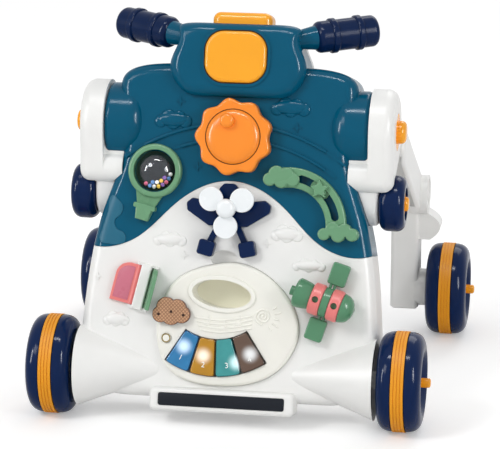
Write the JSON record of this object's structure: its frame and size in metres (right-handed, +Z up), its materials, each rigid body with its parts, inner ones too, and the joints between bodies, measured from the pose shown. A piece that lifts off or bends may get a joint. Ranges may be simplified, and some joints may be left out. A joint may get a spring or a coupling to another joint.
{
  "type": "baby walker",
  "caption": "Push-along baby walker with a leaning activity panel, scooter head and grips, grooved wheels, folding rear legs and a lift-out toy piano.",
  "frame": {"origin": "on the floor, midway between the four road wheels", "axes": "+X to the right of someone who faces the activity panel, +Y back towards the child, +Z up"},
  "size_m": [0.457, 0.434, 0.412],
  "materials": {
    "white_shell": "satin white moulding",
    "cream": "satin cream moulding",
    "teal": "satin teal moulding",
    "navy": "polished navy moulding",
    "grip": "soft navy rubber",
    "tread": "grooved orange rubber",
    "yellow": "polished yellow moulding",
    "orange": "polished orange moulding",
    "sage": "satin sage green moulding",
    "green": "satin green moulding",
    "pink": "satin pink moulding",
    "clear": "clear moulding",
    "beads": "small coloured beads",
    "blue_key": "translucent blue moulding",
    "amber_key": "translucent amber moulding",
    "teal_key": "translucent teal moulding",
    "brown_key": "translucent brown moulding",
    "steel": "drawn steel",
    "cell": "plain printed cells",
    "board": "laminate board",
    "driver": "black paper cone and frame"
  },
  "bodies": {
    "walker": {"front_shell": "white_shell", "upper_panel": "teal", "back_cover": "white_shell", "cover_screws": "steel", "front_axles": "steel", "right_pod": "white_shell", "left_pod": "white_shell", "handlebar": "teal", "grips": "grip", "head_front": "teal", "head_back": "white_shell", "balloon_frame": "sage", "balloon_dome": "clear", "balloon_beads": "beads", "rainbow_track": "sage", "plane_body": "navy", "book_spine": "white_shell", "bee_body": "green"},
    "piano": {"piano_case": "cream", "piano_base": "cream", "battery_door": "cream", "batteries": "cell", "speaker": "driver", "circuit_board": "board"},
    "right_leg": {"right_leg": "white_shell"},
    "front_right_wheel": {"front_right_rim": "navy", "front_right_band": "tread", "front_right_cap": "yellow"},
    "rear_right_wheel": {"rear_right_rim": "navy", "rear_right_band": "tread", "rear_right_cap": "yellow"},
    "right_side_wheel": {"right_side_wheel": "navy", "right_side_cap": "yellow"},
    "right_lock": {"right_lock_button": "yellow"},
    "left_leg": {"left_leg": "white_shell"},
    "front_left_wheel": {"front_left_rim": "navy", "front_left_band": "tread", "front_left_cap": "yellow"},
    "rear_left_wheel": {"rear_left_rim": "navy", "rear_left_band": "tread", "rear_left_cap": "yellow"},
    "left_side_wheel": {"left_side_wheel": "navy", "left_side_cap": "yellow"},
    "left_lock": {"left_lock_button": "yellow"},
    "blue_key": {"blue_key": "blue_key"},
    "amber_key": {"amber_key": "amber_key"},
    "teal_key": {"teal_key": "teal_key"},
    "brown_key": {"brown_key": "brown_key"},
    "cloud_button": {"cloud_button": "brown_key"},
    "mode_button": {"mode_button": "cream"},
    "sun": {"sun_wheel": "orange", "sun_cap": "orange"},
    "propeller": {"propeller": "white_shell"},
    "star": {"star_slider": "sage"},
    "pink_page": {"pink_page": "pink"},
    "green_page": {"green_page": "sage"},
    "bee_head_ring": {"bee_head_ring": "pink"},
    "bee_tail_ring": {"bee_tail_ring": "pink"},
    "lamp_button": {"lamp_button": "yellow"},
    "horn_button": {"horn_button": "yellow"}
  },
  "joints": [
    {"name": "right_leg_fold", "type": "hinge", "parent": "walker", "child": "right_leg", "pos_m": [0.148, -0.07385, 0.29215], "axis": [1, 0, 0], "range_deg": [-25, 0]},
    {"name": "front_right_roll", "type": "hinge", "parent": "walker", "child": "front_right_wheel", "pos_m": [0.182, -0.165, 0.052], "axis": [1, 0, 0], "continuous": true},
    {"name": "rear_right_roll", "type": "hinge", "parent": "right_leg", "child": "rear_right_wheel", "pos_m": [0.1985, 0.165, 0.052], "axis": [1, 0, 0], "continuous": true},
    {"name": "right_side_spin", "type": "hinge", "parent": "walker", "child": "right_side_wheel", "pos_m": [0.1615, -0.08685, 0.21915], "axis": [1, 0, 0], "continuous": true},
    {"name": "right_lock_press", "type": "slide", "parent": "walker", "child": "right_lock", "axis": [-1, 0, 0], "range_m": [0, 0.0035], "stiffness_N_per_m": 400, "springref_m": -0.002},
    {"name": "left_leg_fold", "type": "hinge", "parent": "walker", "child": "left_leg", "pos_m": [-0.148, -0.07385, 0.29215], "axis": [1, 0, 0], "range_deg": [-25, 0]},
    {"name": "front_left_roll", "type": "hinge", "parent": "walker", "child": "front_left_wheel", "pos_m": [-0.182, -0.165, 0.052], "axis": [1, 0, 0], "continuous": true},
    {"name": "rear_left_roll", "type": "hinge", "parent": "left_leg", "child": "rear_left_wheel", "pos_m": [-0.1985, 0.165, 0.052], "axis": [1, 0, 0], "continuous": true},
    {"name": "left_side_spin", "type": "hinge", "parent": "walker", "child": "left_side_wheel", "pos_m": [-0.1615, -0.08685, 0.21915], "axis": [1, 0, 0], "continuous": true},
    {"name": "left_lock_press", "type": "slide", "parent": "walker", "child": "left_lock", "axis": [1, 0, 0], "range_m": [0, 0.0035], "stiffness_N_per_m": 400, "springref_m": -0.002},
    {"name": "piano_lift", "type": "slide", "parent": "walker", "child": "piano", "axis": [0, -0.9613, 0.2756], "range_m": [0, 0.05]},
    {"name": "blue_key_press", "type": "hinge", "parent": "piano", "child": "blue_key", "pos_m": [-0.03577, -0.16613, 0.09006], "axis": [0.9153, -0.111, -0.3871], "range_deg": [0, 4], "stiffness_Nm_per_rad": 0.4, "springref_deg": -6.88},
    {"name": "amber_key_press", "type": "hinge", "parent": "piano", "child": "amber_key", "pos_m": [-0.01876, -0.16743, 0.08553], "axis": [0.992, -0.0348, -0.1213], "range_deg": [0, 4], "stiffness_Nm_per_rad": 0.4, "springref_deg": -6.88},
    {"name": "teal_key_press", "type": "hinge", "parent": "piano", "child": "teal_key", "pos_m": [-0.00111, -0.16734, 0.08582], "axis": [0.987, 0.0443, 0.1545], "range_deg": [0, 4], "stiffness_Nm_per_rad": 0.4, "springref_deg": -6.88},
    {"name": "brown_key_press", "type": "hinge", "parent": "piano", "child": "brown_key", "pos_m": [0.01572, -0.16588, 0.09093], "axis": [0.9007, 0.1197, 0.4176], "range_deg": [0, 4], "stiffness_Nm_per_rad": 0.4, "springref_deg": -6.88},
    {"name": "cloud_press", "type": "slide", "parent": "piano", "child": "cloud_button", "axis": [0, 0.9613, -0.2756], "range_m": [0, 0.002], "stiffness_N_per_m": 400, "springref_m": -0.002},
    {"name": "mode_press", "type": "slide", "parent": "piano", "child": "mode_button", "axis": [0, 0.9613, -0.2756], "range_m": [0, 0.0015], "stiffness_N_per_m": 400, "springref_m": -0.002},
    {"name": "sun_spin", "type": "hinge", "parent": "walker", "child": "sun", "pos_m": [0, -0.11781, 0.29123], "axis": [0, -0.9613, 0.2756], "continuous": true},
    {"name": "propeller_spin", "type": "hinge", "parent": "walker", "child": "propeller", "pos_m": [-0.003, -0.14974, 0.2234], "axis": [0, -0.9613, 0.2756], "continuous": true},
    {"name": "star_slide", "type": "hinge", "parent": "walker", "child": "star", "pos_m": [0.06, -0.13822, 0.20553], "axis": [0, -0.9613, 0.2756], "range_deg": [-30, 13]},
    {"name": "pink_page_turn", "type": "hinge", "parent": "walker", "child": "pink_page", "pos_m": [-0.0982, -0.15424, 0.13878], "axis": [0.2164, 0.2691, 0.9385], "range_deg": [0, 88]},
    {"name": "green_page_turn", "type": "hinge", "parent": "walker", "child": "green_page", "pos_m": [-0.0818, -0.15524, 0.13529], "axis": [-0.2164, -0.2691, -0.9385], "range_deg": [-13, 15]},
    {"name": "bee_head_ring_spin", "type": "hinge", "parent": "walker", "child": "bee_head_ring", "pos_m": [0.09434, -0.16968, 0.13752], "axis": [0.9563, -0.0806, -0.281], "continuous": true},
    {"name": "bee_tail_ring_spin", "type": "hinge", "parent": "walker", "child": "bee_tail_ring", "pos_m": [0.11366, -0.17131, 0.13185], "axis": [0.9563, -0.0806, -0.281], "continuous": true},
    {"name": "lamp_press", "type": "slide", "parent": "walker", "child": "lamp_button", "axis": [0, 0.9613, -0.2756], "range_m": [0, 0.003], "stiffness_N_per_m": 500, "springref_m": -0.002},
    {"name": "horn_press", "type": "slide", "parent": "walker", "child": "horn_button", "axis": [0, -0.2756, -0.9613], "range_m": [0, 0.003], "stiffness_N_per_m": 500, "springref_m": -0.003}
  ]
}
